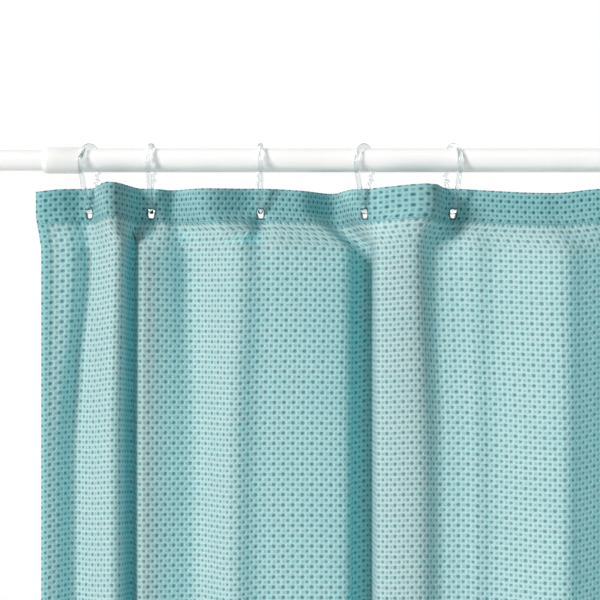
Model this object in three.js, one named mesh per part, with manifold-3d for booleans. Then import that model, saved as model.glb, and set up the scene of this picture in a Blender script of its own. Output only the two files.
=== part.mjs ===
// A shower curtain on a telescoping tension rod: a waffle-weave panel hung from twelve clear plastic hooks.
// Millimetres, +Z up. The origin is the middle of the fixed wall pad's outer face. The rod runs towards -X,
// and the front of the curtain faces -Y.
import * as THREE from "three";
import { mergeVertices } from "three/addons/utils/BufferGeometryUtils.js";
import Module from "manifold-3d";

// Rod
const ROD_SPAN = 1410; // wall to wall
const OUTER_TUBE_RADIUS = 11;
const TUBE_WALL = 0.8;
const SLIDE_GAP = 0.7; // between the two tubes, on the radius
const SEAT_GAP = 0.3; // between pieces that touch
const INNER_TUBE_LENGTH = 720;

// Collar where the thin tube enters the thick one
const COLLAR_LENGTH = 36;
const COLLAR_WALL = 1;
const COLLAR_LIP = 6;

// Wall ends
const PAD_RADIUS = 20;
const PAD_THICKNESS = 3;
const FLANGE_RADIUS = 23;
const FLANGE_THICKNESS = 5.5;
const CAP_BARREL_WALL = 2.4;
const CAP_LENGTH = 30;
const FOOT_LENGTH = 40;
const FOOT_SKIRT_WALL = 2;
const FOOT_SLIDE_GAP = 0.4;
const FOOT_TRAVEL = 12;
const FOOT_STEM_LENGTH = 40;

// Spring behind the foot
const SPRING_WIRE_RADIUS = 0.8;
const SPRING_BORE_GAP = 1.7; // from the wire to the thin tube's bore
const SPRING_LENGTH = 38;
const SPRING_TURNS = 6;
const PLUG_LENGTH = 8;

// Twist lock on the thin tube's inner end
const LOCK_STEM_LENGTH = 24;
const LOCK_SLEEVE_LENGTH = 18;
const LOCK_SLEEVE_WALL = 3.1;
const CAM_OFFSET = 1.5;
const LOCK_BUTTON_LENGTH = 3;
const LOCK_BUTTON_GAP = 1.2; // to the thick tube's bore, on the radius
const LOCK_SPLIT = 2.5;

// Hooks: a pear-shaped loop with a wide arc over the rod and a narrow arc through the buttonhole
const HOOK_COUNT = 12;
const HOOK_WIRE_RADIUS = 2.3;
const HOOK_SIDE_GAP = 4; // from the rod to the inside of the wide arc, on the radius
const HOOK_HEIGHT = 66;
const HOOK_TIP_RADIUS = 5.5; // to the middle of the wire
const SNAP_DROP = 15.8; // from the rod's axis down to the snap in the back leg
const SNAP_GAP = 1;
const SNAP_KNOB_RADIUS = 3;
const HOOK_TURNS_DEG = [24, 4, -3, 28, -19, 12, -14, 20, -8, 16, -22, 10];

// Curtain panel
const CURTAIN_DROP = 1800;
const HOLE_PITCH = 155; // between buttonholes, along the flat cloth
const EDGE_MARGIN = 47.5; // from the outermost buttonholes to the side edges
const CLOTH_THICKNESS = 0.8;
const HEM_THICKNESS = 2;
const TOP_HEM_DEPTH = 32.5;
const BOTTOM_HEM_DEPTH = 30;
const SIDE_HEM_WIDTH = 8;
const HEM_RAMP = 0.6; // over which a hem thins to the single cloth
const STRIP_GAP = 0.3; // between neighbouring strips of the panel
const FIRST_HOOK_TO_WALL = 150;
const LAST_HOOK_TO_WALL = 100;
// How much of the cloth after each hook its fold takes up
const FOLDED_SHARES = [0.632, 0.342, 0.374, 0.471, 0.045, 0.239, 0.381, 0.174, 0.432, 0.097, 0.329];

// Buttonholes
const HOOK_IN_HOLE_GAP = 0.5;
const BUTTONHOLE_HEIGHT = 9.5;
const STITCH_WIDTH = 1.4;
const STITCH_STANDS_OUT = 0.3;
const BUTTONHOLE_BELOW_EDGE = 18.5;
const HANG_GAP = 0.35;

// Fineness of the round and curved shapes
const ROUND_STEPS = 24;
const WIRE_SIDES = 6;
const HOOK_TOP_STEPS = 10;
const HOOK_TIP_STEPS = 5;
const SLOT_STEPS = 4;
const FOLD_STEPS = 14;
const FOLD_SUBSTEPS = 6;
const MARGIN_STEPS = 4;
const SOLVER_STEPS = 40;

const outerBore = OUTER_TUBE_RADIUS - TUBE_WALL;
const innerTubeRadius = outerBore - SLIDE_GAP;
const innerBore = innerTubeRadius - TUBE_WALL;
const leftWall = -ROD_SPAN;
const firstHookX = leftWall + FIRST_HOOK_TO_WALL;
const lastHookX = -LAST_HOOK_TO_WALL;

const collarRadius = OUTER_TUBE_RADIUS + SEAT_GAP + COLLAR_WALL;

const capFaceX = -(PAD_THICKNESS + SEAT_GAP);
const capSocketX = capFaceX - FLANGE_THICKNESS;
const outerTubeRight = capSocketX - SEAT_GAP;

const footFaceX = leftWall + PAD_THICKNESS + SEAT_GAP;
const footSocketX = footFaceX + FLANGE_THICKNESS;
const innerTubeLeft = footSocketX + FOOT_TRAVEL + SEAT_GAP;
const innerTubeRight = innerTubeLeft + INNER_TUBE_LENGTH;
const footStemEnd = footSocketX + FOOT_STEM_LENGTH;
const springStart = footStemEnd + SEAT_GAP;
const plugStart = springStart + SPRING_LENGTH + SEAT_GAP;
const springRadius = innerBore - SPRING_BORE_GAP - SPRING_WIRE_RADIUS;
const sleeveBore = outerBore - SEAT_GAP - LOCK_SLEEVE_WALL;
const camRadius = sleeveBore - SEAT_GAP - CAM_OFFSET;

const hookInnerRadius = OUTER_TUBE_RADIUS + HOOK_SIDE_GAP;
const hookTopRadius = hookInnerRadius + HOOK_WIRE_RADIUS;
const hookTopZ = OUTER_TUBE_RADIUS + SEAT_GAP + 2 * HOOK_WIRE_RADIUS;
const hookTopCentreZ = hookTopZ - HOOK_WIRE_RADIUS - hookTopRadius;
const hookTipCentreZ = hookTopZ - HOOK_HEIGHT + HOOK_WIRE_RADIUS + HOOK_TIP_RADIUS;

// The collar ends where the first hook, turned as it is, still clears it: its loop and the collar cross at
// the height z, and the loop is furthest along the rod there.
const hookTurns = HOOK_TURNS_DEG.map(THREE.MathUtils.degToRad);
const crossingZ = (collarRadius ** 2 + hookTopCentreZ ** 2 - hookInnerRadius ** 2) / (2 * hookTopCentreZ);
const crossingY = Math.sqrt(collarRadius ** 2 - crossingZ ** 2);
const hookReach = crossingY * Math.tan(Math.abs(hookTurns[0])) + HOOK_WIRE_RADIUS / Math.cos(hookTurns[0]);
const collarRight = firstHookX - hookReach - SEAT_GAP;
const collarLeft = collarRight - COLLAR_LENGTH;
const outerTubeLeft = collarLeft + COLLAR_LIP + SEAT_GAP;

const buttonholeWidth = 2 * (HOOK_WIRE_RADIUS + HOOK_IN_HOLE_GAP);
const ringDepth = HEM_THICKNESS + 2 * STITCH_STANDS_OUT;
const tipInnerRadius = HOOK_TIP_RADIUS - HOOK_WIRE_RADIUS;
const wireRestZ = hookTipCentreZ - Math.sqrt(tipInnerRadius ** 2 - (ringDepth / 2) ** 2);
const buttonholeTopZ = wireRestZ + HANG_GAP;
const clothTopZ = buttonholeTopZ + BUTTONHOLE_BELOW_EDGE;
const clothBottomZ = clothTopZ - CURTAIN_DROP;

const wasm = await Module();
wasm.setup();

const plastic = (color, roughness) =>
  new THREE.MeshStandardMaterial({ color, roughness, metalness: 0 });
const WHITE_COAT = new THREE.MeshStandardMaterial({ color: 0xf4f4f2, roughness: 0.3, metalness: 0.1 });
const WHITE_PLASTIC = plastic(0xf1f1ee, 0.4);
const GREY_RUBBER = plastic(0xc9c9c6, 0.8);
const BLACK_NYLON = plastic(0x2b2b2b, 0.6);
const SPRING_STEEL = new THREE.MeshStandardMaterial({ color: 0xb5b6b8, roughness: 0.35, metalness: 1 });
const CLEAR_PLASTIC = plastic(0xe6eeee, 0.08);
const AQUA_CLOTH = plastic(0x8fc4c4, 0.85);
const TEAL_THREAD = plastic(0x4f9a9c, 0.75);

// ---- Helpers

// A closed geometry as a manifold solid, turned so that its faces point outwards.
function solid(geometry) {
  const bare = geometry.clone();
  bare.deleteAttribute("normal");
  bare.deleteAttribute("uv");
  const merged = mergeVertices(bare, 1e-4);
  const triVerts = new Uint32Array(merged.index.array);
  const vertProperties = new Float32Array(merged.attributes.position.array);
  const made = new wasm.Manifold(new wasm.Mesh({ numProp: 3, vertProperties, triVerts }));
  if (made.volume() > 0) return made;
  triVerts.reverse();
  return new wasm.Manifold(new wasm.Mesh({ numProp: 3, vertProperties, triVerts }));
}

// A manifold solid as a geometry with flat faces.
function geometryOf(made) {
  const { vertProperties, triVerts } = made.getMesh();
  const geometry = new THREE.BufferGeometry();
  geometry.setAttribute("position", new THREE.BufferAttribute(new Float32Array(vertProperties), 3));
  geometry.setIndex(new THREE.BufferAttribute(new Uint32Array(triVerts), 1));
  const flat = geometry.toNonIndexed();
  flat.computeVertexNormals();
  return flat;
}

// A named mesh of a manifold solid.
function piece(name, made, material) {
  const mesh = new THREE.Mesh(geometryOf(made), material);
  mesh.name = name;
  return mesh;
}

// A profile of [x, radius] points turned round the X axis.
function turned(profile, steps = ROUND_STEPS) {
  const points = profile.map(([x, radius]) => new THREE.Vector2(radius, x));
  return solid(new THREE.LatheGeometry(points, steps).rotateZ(-Math.PI / 2));
}

// A tube between two places on the X axis.
function tube(fromX, toX, radius, bore) {
  return turned([[fromX, bore], [fromX, radius], [toX, radius], [toX, bore], [fromX, bore]]);
}

// A round bar between two places on the X axis.
function bar(fromX, toX, radius) {
  return turned([[fromX, 0], [fromX, radius], [toX, radius], [toX, 0]]);
}

// A box between two corners.
function block(low, high) {
  const size = high.map((value, n) => value - low[n]);
  const middle = high.map((value, n) => (value + low[n]) / 2);
  return solid(new THREE.BoxGeometry(...size).translate(...middle));
}

// A regular polygon that stands for a round section.
function roundSection(radius, sides) {
  const corners = Array.from({ length: sides }, (_, n) => {
    const angle = (2 * Math.PI * n) / sides;
    return new THREE.Vector2(radius * Math.cos(angle), radius * Math.sin(angle));
  });
  return new THREE.Shape(corners);
}

// A curve whose stations are spread as its own parameter says, and not by length.
class StationCurve extends THREE.Curve {
  constructor(pointAt) {
    super();
    this.pointAt = pointAt;
  }
  getPoint(t) {
    return this.pointAt(t);
  }
  getUtoTmapping(u) {
    return u;
  }
}

// ---- Rod

function outerTube() {
  return tube(outerTubeLeft, outerTubeRight, OUTER_TUBE_RADIUS, outerBore);
}

function innerTube() {
  return tube(innerTubeLeft, innerTubeRight, innerTubeRadius, innerBore);
}

// Sits over the end of the thick tube and closes in on the thin one with a rounded lip.
function collar() {
  const tubeBore = OUTER_TUBE_RADIUS + SEAT_GAP;
  const lipBore = innerTubeRadius + SEAT_GAP;
  return turned([
    [collarLeft, lipBore],
    [collarLeft, lipBore + 0.8],
    [collarLeft + 1.5, collarRadius - 0.9],
    [collarLeft + 4, collarRadius - 0.1],
    [collarLeft + 6, collarRadius],
    [collarRight - 1, collarRadius],
    [collarRight, collarRadius - 0.5],
    [collarRight, tubeBore],
    [collarLeft + COLLAR_LIP, tubeBore],
    [collarLeft + COLLAR_LIP, lipBore],
    [collarLeft, lipBore],
  ]);
}

function wallPad(faceX, towardsRod) {
  return bar(faceX, faceX + towardsRod * PAD_THICKNESS, PAD_RADIUS);
}

// The fixed end: a cup on the thick tube, with a flange against the wall pad.
function fixedCap() {
  const bore = OUTER_TUBE_RADIUS + SEAT_GAP;
  const barrel = bore + CAP_BARREL_WALL;
  const openX = capFaceX - CAP_LENGTH;
  return turned([
    [capFaceX, 0],
    [capFaceX, FLANGE_RADIUS],
    [capFaceX - 3, FLANGE_RADIUS],
    [capFaceX - FLANGE_THICKNESS, FLANGE_RADIUS - 2],
    [capFaceX - FLANGE_THICKNESS - 4, barrel + 0.6],
    [openX, barrel],
    [openX, bore],
    [capSocketX, bore],
    [capSocketX, 0],
  ]);
}

// The sprung end: a flange with a skirt over the thin tube and a stem inside it.
function sprungFoot() {
  const skirtBore = innerTubeRadius + FOOT_SLIDE_GAP;
  const skirt = skirtBore + FOOT_SKIRT_WALL;
  const openX = footFaceX + FOOT_LENGTH;
  const stem = innerBore - FOOT_SLIDE_GAP;
  return turned([
    [footFaceX, 0],
    [footFaceX, FLANGE_RADIUS],
    [footFaceX + 3, FLANGE_RADIUS],
    [footFaceX + FLANGE_THICKNESS, FLANGE_RADIUS - 2],
    [footFaceX + FLANGE_THICKNESS + 4, skirt + 0.6],
    [openX, skirt],
    [openX, skirtBore],
    [footSocketX, skirtBore],
    [footSocketX, stem],
    [footStemEnd, stem],
    [footStemEnd, 0],
  ]);
}

function footSpring() {
  const coil = new THREE.Curve();
  const reach = SPRING_LENGTH - 2 * SPRING_WIRE_RADIUS;
  coil.getPoint = (t) => {
    const angle = 2 * Math.PI * SPRING_TURNS * t;
    const x = springStart + SPRING_WIRE_RADIUS + reach * t;
    return new THREE.Vector3(x, springRadius * Math.cos(angle), springRadius * Math.sin(angle));
  };
  const section = roundSection(SPRING_WIRE_RADIUS, 5);
  const options = { extrudePath: coil, steps: SPRING_TURNS * 9, bevelEnabled: false };
  return solid(new THREE.ExtrudeGeometry(section, options));
}

function springPlug() {
  return bar(plugStart, plugStart + PLUG_LENGTH, innerBore - SEAT_GAP);
}

// Fixed in the thin tube's inner end: a stem, an off-centre cam and a button that keeps the sleeve on.
function lockCam() {
  const stem = bar(innerTubeRight - LOCK_STEM_LENGTH, innerTubeRight, innerBore - SEAT_GAP);
  const sleeveEnd = innerTubeRight + LOCK_SLEEVE_LENGTH + 2 * SEAT_GAP;
  const cam = bar(innerTubeRight - 1, sleeveEnd + 1, camRadius).translate([0, CAM_OFFSET, 0]);
  const button = bar(sleeveEnd, sleeveEnd + LOCK_BUTTON_LENGTH, outerBore - LOCK_BUTTON_GAP);
  return stem.add(cam).add(button);
}

// A split sleeve round the cam, which grips the thick tube's bore when the cam turns.
function lockSleeve() {
  const start = innerTubeRight + SEAT_GAP;
  const end = start + LOCK_SLEEVE_LENGTH;
  const ring = tube(start, end, outerBore - SEAT_GAP, sleeveBore);
  const split = block([start - 1, -outerBore, -LOCK_SPLIT / 2], [end + 1, 0, LOCK_SPLIT / 2]);
  return ring.subtract(split);
}

// ---- Hooks

// The middle of the wire in the hook's own plane, from the upper end of the snap over the rod, down the
// front leg, round the tip and up the back leg. The legs are the outer tangents of the two arcs.
function hookStations() {
  const lean = Math.asin((hookTopRadius - HOOK_TIP_RADIUS) / (hookTopCentreZ - hookTipCentreZ));
  const onArc = (radius, centreZ, angle) => [radius * Math.cos(angle), centreZ + radius * Math.sin(angle)];
  const arc = (radius, centreZ, from, to, steps) =>
    Array.from({ length: steps + 1 }, (_, n) => onArc(radius, centreZ, from + ((to - from) * n) / steps));
  const top = arc(hookTopRadius, hookTopCentreZ, -lean, Math.PI + lean, HOOK_TOP_STEPS);
  const tip = arc(HOOK_TIP_RADIUS, hookTipCentreZ, Math.PI + lean, 2 * Math.PI - lean, HOOK_TIP_STEPS);
  const legTop = top[0];
  const legBottom = tip[tip.length - 1];
  const onBackLeg = (z) => {
    const share = (z - legBottom[1]) / (legTop[1] - legBottom[1]);
    return [legBottom[0] + share * (legTop[0] - legBottom[0]), z];
  };
  return [onBackLeg(SNAP_GAP / 2 - SNAP_DROP), ...top, ...tip, onBackLeg(-SNAP_DROP - SNAP_GAP / 2)];
}

function hookPath(stations) {
  const last = stations.length - 1;
  return new StationCurve((t) => {
    const place = Math.min(Math.max(t, 0), 1) * last;
    const n = Math.min(Math.floor(place), last - 1);
    const [from, to] = [stations[n], stations[n + 1]];
    const share = place - n;
    return new THREE.Vector3(0, from[0] + share * (to[0] - from[0]), from[1] + share * (to[1] - from[1]));
  });
}

function hook() {
  const stations = hookStations();
  const options = { extrudePath: hookPath(stations), steps: stations.length - 1, bevelEnabled: false };
  const wire = solid(new THREE.ExtrudeGeometry(roundSection(HOOK_WIRE_RADIUS, WIRE_SIDES), options));
  const [knobY, knobZ] = stations[stations.length - 1];
  const ball = new THREE.SphereGeometry(SNAP_KNOB_RADIUS, 6, 4);
  const knob = ball.rotateX(Math.PI / 2).translate(0, knobY, knobZ - SNAP_KNOB_RADIUS);
  return wire.add(solid(knob));
}

// ---- Cloth

const hookX = placeHooks();

// Each gap between hooks is the buttonhole pitch less what its fold takes up. One power for all the shares
// spreads the hooks over the width they have: above 1 it opens the folds, and below 1 it tightens them.
function placeHooks() {
  const gaps = (power) => FOLDED_SHARES.map((share) => HOLE_PITCH * (1 - share ** power));
  const total = (power) => gaps(power).reduce((sum, gap) => sum + gap, 0);
  const width = lastHookX - firstHookX;
  const places = [firstHookX];
  for (const gap of gaps(solve((power) => total(power) - width, 0, 20))) places.push(places.at(-1) + gap);
  return places;
}

// A fold is a meander: the cloth's direction swings to and fro as a sine of the length along the cloth.
// It starts and ends square to the hooks that hold it, and its bias brings it back level. Each point of a
// line in plan has its place and the cloth's direction there.
function foldPoints({ turnIn, turnOut, swing, bias }) {
  const count = FOLD_STEPS * FOLD_SUBSTEPS;
  const step = HOLE_PITCH / count;
  const direction = (u) => {
    const held = ((u < 0.5 ? turnIn : turnOut) * (1 + Math.cos(2 * Math.PI * u))) / 2;
    return bias * Math.sin(Math.PI * u) ** 2 - swing * Math.sin(2 * Math.PI * u) - held;
  };
  const points = [{ x: 0, y: 0, angle: direction(0) }];
  let [x, y] = [0, 0];
  for (let n = 0; n < count; n += 1) {
    const angle = direction((n + 0.5) / count);
    x += step * Math.cos(angle);
    y += step * Math.sin(angle);
    if ((n + 1) % FOLD_SUBSTEPS === 0) points.push({ x, y, angle: direction((n + 1) / count) });
  }
  return points;
}

// The value between low and high at which a rising measure reaches zero.
function solve(measure, low, high) {
  for (let n = 0; n < SOLVER_STEPS; n += 1) {
    const middle = (low + high) / 2;
    if (measure(middle) < 0) low = middle;
    else high = middle;
  }
  return (low + high) / 2;
}

// The fold that spans the gap after hook n.
function fold(n) {
  const chord = hookX[n + 1] - hookX[n];
  const held = { turnIn: hookTurns[n], turnOut: hookTurns[n + 1] };
  const end = (swing, bias) => foldPoints({ ...held, swing, bias })[FOLD_STEPS];
  const level = (swing) => solve((bias) => end(swing, bias).y, -1.5, 1.5);
  const swing = solve((value) => chord - end(value, level(value)).x, 0, 2.3);
  const points = foldPoints({ ...held, swing, bias: level(swing) });
  return points.map((point) => ({ ...point, x: point.x + hookX[n] }));
}

// The margin outside the first or last hook, from the hook outwards: it leaves square to the hook and straightens.
function margin(n, side) {
  const step = (side * EDGE_MARGIN) / MARGIN_STEPS;
  const direction = (u) => (-hookTurns[n] * (1 + Math.cos(Math.PI * u))) / 2;
  const points = [{ x: hookX[n], y: 0, angle: direction(0) }];
  for (let k = 0; k < MARGIN_STEPS; k += 1) {
    const middle = direction((k + 0.5) / MARGIN_STEPS);
    const x = points[k].x + step * Math.cos(middle);
    const y = points[k].y + step * Math.sin(middle);
    points.push({ x, y, angle: direction((k + 1) / MARGIN_STEPS) });
  }
  return points;
}

// The line that strip n follows in plan: from the crest before its hook to the crest after it.
function stripLine(n) {
  const half = FOLD_STEPS / 2;
  const before = n === 0 ? margin(0, -1).reverse() : fold(n - 1).slice(half);
  const after = n === HOOK_COUNT - 1 ? margin(n, 1) : fold(n).slice(0, half + 1);
  const line = [...before.slice(0, -1), ...after];
  const length = lengthOf(line);
  return stretch(line, STRIP_GAP / 2, length - STRIP_GAP / 2);
}

function distance(from, to) {
  return Math.hypot(to.x - from.x, to.y - from.y);
}

function lengthOf(line) {
  return line.slice(1).reduce((sum, point, n) => sum + distance(line[n], point), 0);
}

// The part of a line between two lengths from its start.
function stretch(line, from, to) {
  const kept = [];
  let start = 0;
  for (let n = 1; n < line.length; n += 1) {
    const [a, b] = [line[n - 1], line[n]];
    const step = distance(a, b);
    const at = (length, angle) => {
      const share = (length - start) / step;
      return { x: a.x + share * (b.x - a.x), y: a.y + share * (b.y - a.y), angle };
    };
    if (from >= start && from < start + step) kept.push(at(from, a.angle));
    else if (start > from && start < to) kept.push(a);
    if (to > start && to <= start + step) kept.push(at(to, b.angle));
    start += step;
  }
  return kept;
}

// The outline in plan of a line with a thickness, which is at least that of the side hem where a point is in it.
function outlineOf(line, thickness) {
  const side = (sign) =>
    line.map(({ x, y, angle, inHem }) => {
      const offset = (sign * (inHem ? HEM_THICKNESS : thickness)) / 2;
      return new THREE.Vector2(x - offset * Math.sin(angle), y + offset * Math.cos(angle));
    });
  return [...side(-1), ...side(1).reverse()];
}

// A closed wall on a line in plan. Its levels, from the bottom up, each have a height and a thickness.
function wallOnLine(line, levels) {
  const outlines = levels.map(({ thickness }) => outlineOf(line, thickness));
  const count = outlines[0].length;
  const positions = outlines.flatMap((outline, n) => outline.flatMap(({ x, y }) => [x, y, levels[n].z]));
  const index = [];
  for (let n = 0; n < levels.length - 1; n += 1) {
    for (let k = 0; k < count; k += 1) {
      const [a, b] = [n * count + k, n * count + ((k + 1) % count)];
      index.push(a, b, b + count, a, b + count, a + count);
    }
  }
  const last = (levels.length - 1) * count;
  for (const [a, b, c] of THREE.ShapeUtils.triangulateShape(outlines[0], [])) {
    index.push(c, b, a, last + a, last + b, last + c);
  }
  const geometry = new THREE.BufferGeometry();
  geometry.setAttribute("position", new THREE.Float32BufferAttribute(positions, 3));
  geometry.setIndex(index);
  return solid(geometry);
}

// A slot with round ends, standing upright with its top at buttonholeTopZ plus grow, and running along Y.
function slot(grow, depth) {
  const width = buttonholeWidth + 2 * grow;
  const radius = width / 2;
  const top = buttonholeTopZ + grow - radius;
  const bottom = buttonholeTopZ - BUTTONHOLE_HEIGHT - grow + radius;
  const outline = new THREE.Shape();
  outline.absarc(0, top, radius, 0, Math.PI, false);
  outline.absarc(0, bottom, radius, Math.PI, 2 * Math.PI, false);
  const options = { depth, bevelEnabled: false, curveSegments: SLOT_STEPS };
  return solid(new THREE.ExtrudeGeometry(outline, options).rotateX(Math.PI / 2).translate(0, depth / 2, 0));
}

// Turns a piece made at the rod's origin to face as hook n does, and moves it along the rod to that hook.
function atHook(made, n) {
  return made.rotate([0, 0, -HOOK_TURNS_DEG[n]]).translate([hookX[n], 0, 0]);
}

// A line whose first stretch, or last, lies in a side hem. The hem ends in a short ramp.
function withSideHem(line, atStart) {
  const length = lengthOf(line);
  const inner = atStart ? [SIDE_HEM_WIDTH + HEM_RAMP, length] : [0, length - SIDE_HEM_WIDTH - HEM_RAMP];
  const outer = atStart ? [0, SIDE_HEM_WIDTH] : [length - SIDE_HEM_WIDTH, length];
  const hem = stretch(line, ...outer).map((point) => ({ ...point, inHem: true }));
  return atStart ? [...hem, ...stretch(line, ...inner)] : [...stretch(line, ...inner), ...hem];
}

// One strip of the panel with its share of the hems, cut through for the stitching of its buttonhole.
function panelStrip(n) {
  let line = stripLine(n);
  if (n === 0) line = withSideHem(line, true);
  if (n === HOOK_COUNT - 1) line = withSideHem(line, false);
  const cloth = wallOnLine(line, [
    { z: clothBottomZ, thickness: HEM_THICKNESS },
    { z: clothBottomZ + BOTTOM_HEM_DEPTH, thickness: HEM_THICKNESS },
    { z: clothBottomZ + BOTTOM_HEM_DEPTH + HEM_RAMP, thickness: CLOTH_THICKNESS },
    { z: clothTopZ - TOP_HEM_DEPTH - HEM_RAMP, thickness: CLOTH_THICKNESS },
    { z: clothTopZ - TOP_HEM_DEPTH, thickness: HEM_THICKNESS },
    { z: clothTopZ, thickness: HEM_THICKNESS },
  ]);
  return cloth.subtract(atHook(slot(STITCH_WIDTH + SEAT_GAP, 8 * HEM_THICKNESS), n));
}

function buttonholeStitching(n) {
  return atHook(slot(STITCH_WIDTH, ringDepth).subtract(slot(0, 2 * ringDepth)), n);
}

// ---- The whole object

const curtain = new THREE.Group();

function addRod() {
  const rod = new THREE.Group();
  rod.add(piece("outer_tube", outerTube(), WHITE_COAT));
  rod.add(piece("inner_tube", innerTube(), WHITE_COAT));
  rod.add(piece("tube_collar", collar(), WHITE_PLASTIC));
  rod.add(piece("fixed_end_cap", fixedCap(), WHITE_PLASTIC));
  rod.add(piece("fixed_end_pad", wallPad(0, -1), GREY_RUBBER));
  rod.add(piece("sprung_foot", sprungFoot(), WHITE_PLASTIC));
  rod.add(piece("sprung_foot_pad", wallPad(leftWall, 1), GREY_RUBBER));
  rod.add(piece("foot_spring", footSpring(), SPRING_STEEL));
  rod.add(piece("spring_plug", springPlug(), BLACK_NYLON));
  rod.add(piece("lock_cam", lockCam(), BLACK_NYLON));
  rod.add(piece("lock_sleeve", lockSleeve(), BLACK_NYLON));
  curtain.add(rod);
}

function addHungPieces() {
  const oneHook = hook();
  for (let n = 0; n < HOOK_COUNT; n += 1) {
    const label = String(n + 1).padStart(2, "0");
    curtain.add(piece(`hook_${label}`, atHook(oneHook, n), CLEAR_PLASTIC));
    curtain.add(piece(`panel_strip_${label}`, panelStrip(n), AQUA_CLOTH));
    curtain.add(piece(`buttonhole_stitching_${label}`, buttonholeStitching(n), TEAL_THREAD));
  }
}

addRod();
addHungPieces();

export default curtain;
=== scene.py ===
"""A waffle-weave shower curtain on a telescoping tension rod, dressed around its fixed frame.

Metres throughout. The rod lies along X with its fixed wall pad at the origin, Z is up and the front of the
curtain faces -Y.
"""

import logging
import math
from dataclasses import dataclass, field
from enum import Enum

import bmesh
import bpy
import numpy as np
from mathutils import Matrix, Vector


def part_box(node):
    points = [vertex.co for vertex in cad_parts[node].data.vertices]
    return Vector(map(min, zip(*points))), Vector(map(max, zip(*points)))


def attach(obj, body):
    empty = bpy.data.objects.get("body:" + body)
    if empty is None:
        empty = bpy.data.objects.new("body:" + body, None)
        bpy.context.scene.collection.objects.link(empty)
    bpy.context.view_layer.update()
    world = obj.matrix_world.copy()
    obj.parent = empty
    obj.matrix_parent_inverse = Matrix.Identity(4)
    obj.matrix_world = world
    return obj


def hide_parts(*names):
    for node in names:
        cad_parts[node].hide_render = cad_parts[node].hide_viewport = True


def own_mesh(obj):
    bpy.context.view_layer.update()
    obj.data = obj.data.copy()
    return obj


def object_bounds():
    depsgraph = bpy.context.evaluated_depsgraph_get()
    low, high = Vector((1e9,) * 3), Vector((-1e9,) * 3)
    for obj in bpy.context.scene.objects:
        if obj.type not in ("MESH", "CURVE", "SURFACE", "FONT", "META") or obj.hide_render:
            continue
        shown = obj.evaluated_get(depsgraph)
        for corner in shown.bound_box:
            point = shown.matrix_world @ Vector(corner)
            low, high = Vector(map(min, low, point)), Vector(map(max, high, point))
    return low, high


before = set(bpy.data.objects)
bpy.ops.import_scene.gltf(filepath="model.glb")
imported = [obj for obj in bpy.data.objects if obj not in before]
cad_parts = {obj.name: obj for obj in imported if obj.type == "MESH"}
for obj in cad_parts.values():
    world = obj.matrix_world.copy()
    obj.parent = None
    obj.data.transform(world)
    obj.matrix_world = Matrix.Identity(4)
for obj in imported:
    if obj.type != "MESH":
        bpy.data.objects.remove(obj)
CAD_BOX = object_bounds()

log = logging.getLogger("shower_curtain")
MM = 0.001
HOOK_NUMBERS = tuple(f"{n:02d}" for n in range(1, 13))
NEAR = 1e-6


# ---- Meshes


def grid_faces(rows: int, columns: int, wrap_rows: bool = False, wrap_columns: bool = False) -> np.ndarray:
    """Quads of a grid whose vertices run row by row: corner (r, c), (r, c+1), (r+1, c+1), (r+1, c).

    Args:
        rows: How many rows of vertices there are.
        columns: How many vertices a row has.
        wrap_rows: Whether the last row joins the first.
        wrap_columns: Whether the last column joins the first.

    Returns:
        An array of four vertex indices for each face.
    """
    r = np.arange(rows if wrap_rows else rows - 1)[:, None]
    c = np.arange(columns if wrap_columns else columns - 1)[None, :]
    below, beside = (r + 1) % rows, (c + 1) % columns
    corners = [r * columns + c, r * columns + beside, below * columns + beside, below * columns + c]
    return np.stack([np.broadcast_to(k, (r.size, c.size)) for k in corners], axis=-1).reshape(-1, 4)


def new_piece(name: str, points: np.ndarray, faces: list, smooth: bool = True) -> bpy.types.Object:
    """A mesh object at the origin, with its place in its vertices.

    Args:
        name: The piece's name.
        points: One row of x, y and z for each vertex.
        faces: Vertex indices of each face.
        smooth: Whether the faces are shaded smooth.

    Returns:
        The linked object.
    """
    mesh = bpy.data.meshes.new(name)
    mesh.from_pydata(points.reshape(-1, 3).tolist(), [], faces)
    mesh.polygons.foreach_set("use_smooth", np.full(len(mesh.polygons), smooth))
    mesh.validate()
    piece = bpy.data.objects.new(name, mesh)
    bpy.context.scene.collection.objects.link(piece)
    return piece


def turned(profile: np.ndarray, sides: int) -> tuple[np.ndarray, list]:
    """A closed profile of (x, radius) turned round the X axis.

    Each point is (x, radius sin a, radius cos a), with the angle a running round in equal steps.

    Args:
        profile: A closed loop of x and radius, or an open one whose two ends are on the axis.
        sides: How many steps go round.

    Returns:
        The vertices and the faces.
    """
    on_axis = bool(profile[0, 1] < 1e-9)
    ring = profile[1:-1] if on_axis else profile
    angle = np.linspace(0, 2 * np.pi, sides, endpoint=False)
    x = np.broadcast_to(ring[:, :1], (len(ring), sides))
    y, z = ring[:, 1:] * np.sin(angle), ring[:, 1:] * np.cos(angle)
    points = np.stack([x, y, z], axis=-1).reshape(-1, 3)
    faces = grid_faces(len(ring), sides, wrap_rows=not on_axis, wrap_columns=True)
    if not on_axis:
        return points, faces.tolist()
    points = np.vstack([points, [profile[0, 0], 0, 0], [profile[-1, 0], 0, 0]])
    k = np.arange(sides)
    after, first, last = (k + 1) % sides, len(points) - 2, len(points) - 1
    start = np.stack([np.full(sides, first), after, k], axis=-1)
    base = (len(ring) - 1) * sides
    end = np.stack([np.full(sides, last), base + k, base + after], axis=-1)
    return points, faces.tolist() + start.tolist() + end.tolist()


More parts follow.
